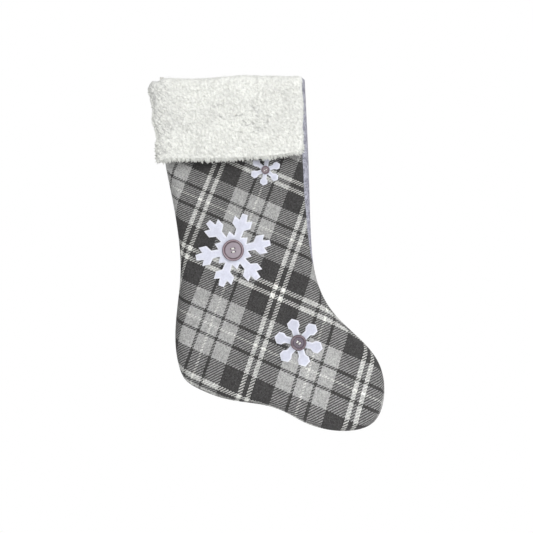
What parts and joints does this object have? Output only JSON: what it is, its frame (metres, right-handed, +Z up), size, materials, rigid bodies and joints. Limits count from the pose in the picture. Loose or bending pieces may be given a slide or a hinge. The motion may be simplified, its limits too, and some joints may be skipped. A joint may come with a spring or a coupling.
{
  "type": "hanging christmas stocking",
  "caption": "Flat-lying cloth stocking with a turned-down pile cuff, button-centred felt snowflakes sewn on its front and a tape loop to hang it by.",
  "frame": {"origin": "on the wall side of the back panel, at the mouth's top edge, at the middle of the mouth's width", "axes": "+X towards the toe, +Y into the wall the stocking hangs against, +Z up"},
  "size_m": [0.3166, 0.0425, 0.4811],
  "materials": {
    "tartan_wool": "brushed twill, grey and cream tartan",
    "back_felt": "pressed felt",
    "lining": "plain weave",
    "sherpa": "curled pile",
    "cuff_backing": "plain knit",
    "tape": "herringbone tape",
    "grey_thread": "sewing thread",
    "cream_thread": "sewing thread",
    "white_felt": "cut felt",
    "button_pale": "polished",
    "button_dark": "polished",
    "button_mid": "polished"
  },
  "bodies": {
    "stocking": {"front_panel": "tartan_wool", "back_panel": "back_felt", "front_lining": "lining", "back_lining": "lining", "side_seam_thread": "grey_thread", "mouth_facing": "sherpa", "facing_thread": "cream_thread", "loop_tail": "tape", "loop_stitches": "cream_thread"},
    "cuff": {"cuff_band": "sherpa", "cuff_backing": "cuff_backing", "cuff_hem_thread": "cream_thread"},
    "loop": {"hanging_loop": "tape"},
    "large_ornament": {"large_snowflake": "white_felt", "large_button": "button_pale", "large_button_thread": "cream_thread"},
    "medium_ornament": {"medium_snowflake": "white_felt", "medium_button": "button_dark", "medium_button_thread": "cream_thread"},
    "small_ornament": {"small_snowflake": "white_felt", "small_button": "button_mid", "small_button_thread": "cream_thread"}
  },
  "joints": [
    {"name": "cuff_lift", "type": "hinge", "parent": "stocking", "child": "cuff", "pos_m": [0, -0.0365, -0.006], "axis": [-1, 0, 0], "range_deg": [0, 165]},
    {"name": "loop_flip", "type": "hinge", "parent": "stocking", "child": "loop", "pos_m": [-0.092, -0.014, -0.0015], "axis": [0, -1, 0], "range_deg": [0, 180]},
    {"name": "large_turn", "type": "hinge", "parent": "stocking", "child": "large_ornament", "pos_m": [0.0036, -0.03, -0.236], "axis": [0, -1, 0], "range_deg": [-12, 12]},
    {"name": "medium_turn", "type": "hinge", "parent": "stocking", "child": "medium_ornament", "pos_m": [0.0918, -0.03, -0.3607], "axis": [0, -1, 0], "range_deg": [-12, 12]},
    {"name": "small_turn", "type": "hinge", "parent": "stocking", "child": "small_ornament", "pos_m": [0.0472, -0.03, -0.1277], "axis": [0, -1, 0], "range_deg": [-12, 12]}
  ]
}
